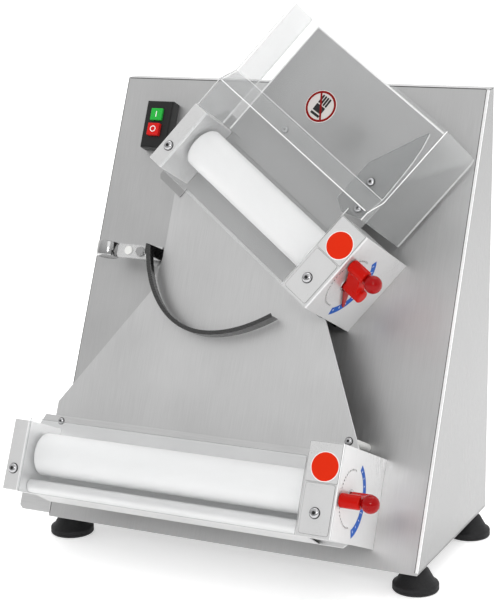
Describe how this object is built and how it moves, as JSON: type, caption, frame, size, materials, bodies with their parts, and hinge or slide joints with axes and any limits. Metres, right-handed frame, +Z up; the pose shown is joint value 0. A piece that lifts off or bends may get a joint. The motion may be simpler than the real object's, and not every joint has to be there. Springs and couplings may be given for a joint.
{
  "type": "dough sheeter",
  "caption": "Counter-top dough sheeter: wedge steel cabinet, tilted upper and level lower roller pair, clear hood, turning rocker and gap levers.",
  "frame": {"origin": "on the ground at the centre of the footprint of the whole machine", "axes": "+Z up, +X to the right of an operator facing the machine, +Y away from the operator, towards the back panel"},
  "size_m": [0.475, 0.3506, 0.6091],
  "materials": {
    "steel_sheet": "satin stainless steel sheet with a fine brushed grain",
    "polished_steel": "turned and polished steel",
    "aluminium": "bare aluminium strip, lightly polished",
    "clear_plastic": "clear polycarbonate sheet with polished edges",
    "white_plastic": "smooth white acetal",
    "red_plastic": "glossy moulded red plastic",
    "green_plastic": "glossy moulded green plastic",
    "black_plastic": "matt black moulded plastic",
    "rubber": "matt black rubber",
    "grey_paint": "grey machine enamel"
  },
  "bodies": {
    "cabinet": {"lower_backing_plate": "steel_sheet", "lower_rear_frame": "steel_sheet", "lower_left_bracket": "steel_sheet", "lower_gear_cover": "steel_sheet", "lower_dial_bracket": "steel_sheet", "lower_gear_motor": "grey_paint", "lower_belt": "rubber", "lower_guard": "clear_plastic", "discharge_sheet": "steel_sheet", "upper_backing_plate": "steel_sheet", "upper_rear_frame": "steel_sheet", "upper_left_bracket": "steel_sheet", "upper_gear_cover": "steel_sheet", "upper_dial_bracket": "steel_sheet", "upper_gear_motor": "grey_paint", "upper_belt": "rubber", "hood": "clear_plastic", "infeed_plate": "steel_sheet", "front_panel": "steel_sheet", "switch_housing": "black_plastic", "chute_plate": "steel_sheet", "chute_standoff": "white_plastic", "rocker_pivot": "polished_steel", "left_side_panel": "steel_sheet", "right_side_panel": "steel_sheet", "back_panel": "steel_sheet", "base_plate": "steel_sheet", "foot_front_left": "rubber", "foot_front_right": "rubber", "foot_rear_left": "rubber", "foot_rear_right": "rubber", "cable_gland": "black_plastic"},
    "lower_rear": {"lower_rear_roller": "white_plastic", "lower_rear_gear": "white_plastic", "lower_rear_pulley": "polished_steel"},
    "lower_motor_shaft": {"lower_motor_pulley": "polished_steel"},
    "lower_carrier": {"lower_carrier_left": "polished_steel", "lower_carrier_right": "polished_steel"},
    "lower_front": {"lower_front_roller": "white_plastic", "lower_front_shaft": "polished_steel", "lower_front_gear": "white_plastic"},
    "lower_lever": {"lower_lever": "red_plastic", "lower_cam_shaft": "polished_steel"},
    "lower_plunger": {"lower_plunger": "red_plastic"},
    "upper_rear": {"upper_rear_roller": "white_plastic", "upper_rear_gear": "white_plastic", "upper_rear_pulley": "polished_steel"},
    "upper_motor_shaft": {"upper_motor_pulley": "polished_steel"},
    "upper_carrier": {"upper_carrier_left": "polished_steel", "upper_carrier_right": "polished_steel"},
    "upper_front": {"upper_front_roller": "white_plastic", "upper_front_shaft": "polished_steel", "upper_front_gear": "white_plastic"},
    "upper_lever": {"upper_lever": "red_plastic", "upper_cam_shaft": "polished_steel"},
    "upper_plunger": {"upper_plunger": "red_plastic"},
    "start_button": {"start_button": "green_plastic"},
    "stop_button": {"stop_button": "red_plastic"},
    "rocker": {"rocker_arm": "aluminium", "rocker_weight": "polished_steel"}
  },
  "joints": [
    {"name": "lower_rear_spin", "type": "hinge", "parent": "cabinet", "child": "lower_rear", "pos_m": [0.1728, -0.07847, 0.10314], "axis": [1, 0, 0], "continuous": true},
    {"name": "lower_motor_spin", "type": "hinge", "parent": "cabinet", "child": "lower_motor_shaft", "pos_m": [0.1728, 0.01799, 0.09862], "axis": [1, 0, 0], "continuous": true},
    {"name": "lower_lever_turn", "type": "hinge", "parent": "cabinet", "child": "lower_lever", "pos_m": [0.1728, -0.12325, 0.12301], "axis": [1, 0, 0], "range_deg": [-88, 72]},
    {"name": "lower_carrier_slide", "type": "slide", "parent": "cabinet", "child": "lower_carrier", "axis": [0, -0.914, 0.4056], "range_m": [-0.00162, 0.00198]},
    {"name": "lower_front_spin", "type": "hinge", "parent": "lower_carrier", "child": "lower_front", "pos_m": [0.1728, -0.12309, 0.12294], "axis": [1, 0, 0], "continuous": true},
    {"name": "lower_plunger_pull", "type": "slide", "parent": "lower_lever", "child": "lower_plunger", "axis": [1, 0, 0], "range_m": [0, 0.006], "stiffness_N_per_m": 300, "springref_m": -0.005},
    {"name": "upper_rear_spin", "type": "hinge", "parent": "cabinet", "child": "upper_rear", "pos_m": [0.13211, 0.01092, 0.30454], "axis": [0.8145, -0.2353, -0.5303], "continuous": true},
    {"name": "upper_motor_spin", "type": "hinge", "parent": "cabinet", "child": "upper_motor_shaft", "pos_m": [0.1002, 0.07501, 0.22708], "axis": [0.8145, -0.2353, -0.5303], "continuous": true},
    {"name": "upper_lever_turn", "type": "hinge", "parent": "cabinet", "child": "upper_lever", "pos_m": [0.13211, -0.03387, 0.32442], "axis": [0.8145, -0.2353, -0.5303], "range_deg": [-40, 120]},
    {"name": "upper_carrier_slide", "type": "slide", "parent": "cabinet", "child": "upper_carrier", "axis": [0, -0.914, 0.4056], "range_m": [-0.0027, 0.0009]},
    {"name": "upper_front_spin", "type": "hinge", "parent": "upper_carrier", "child": "upper_front", "pos_m": [0.13211, -0.03469, 0.32478], "axis": [0.8145, -0.2353, -0.5303], "continuous": true},
    {"name": "upper_plunger_pull", "type": "slide", "parent": "upper_lever", "child": "upper_plunger", "axis": [0.8145, -0.2353, -0.5303], "range_m": [0, 0.006], "stiffness_N_per_m": 300, "springref_m": -0.005},
    {"name": "start_press", "type": "slide", "parent": "cabinet", "child": "start_button", "axis": [0, 0.914, -0.4056], "range_m": [0, 0.0025], "stiffness_N_per_m": 300, "springref_m": -0.003},
    {"name": "stop_press", "type": "slide", "parent": "cabinet", "child": "stop_button", "axis": [0, 0.914, -0.4056], "range_m": [0, 0.003], "stiffness_N_per_m": 300, "springref_m": -0.003},
    {"name": "rocker_swing", "type": "hinge", "parent": "cabinet", "child": "rocker", "pos_m": [-0.1452, 0.02589, 0.32596], "axis": [0, -0.914, 0.4056], "range_deg": [-14, 0]}
  ],
  "couplings": [
    {"joint": "lower_front_spin", "follows": "lower_rear_spin", "ratio": -1},
    {"joint": "lower_motor_spin", "follows": "lower_rear_spin", "ratio": 1},
    {"joint": "lower_lever_turn", "follows": "lower_carrier_slide", "rad_per_m": -775.7},
    {"joint": "upper_front_spin", "follows": "upper_rear_spin", "ratio": -1},
    {"joint": "upper_motor_spin", "follows": "upper_rear_spin", "ratio": 1},
    {"joint": "upper_lever_turn", "follows": "upper_carrier_slide", "rad_per_m": -775.7}
  ]
}
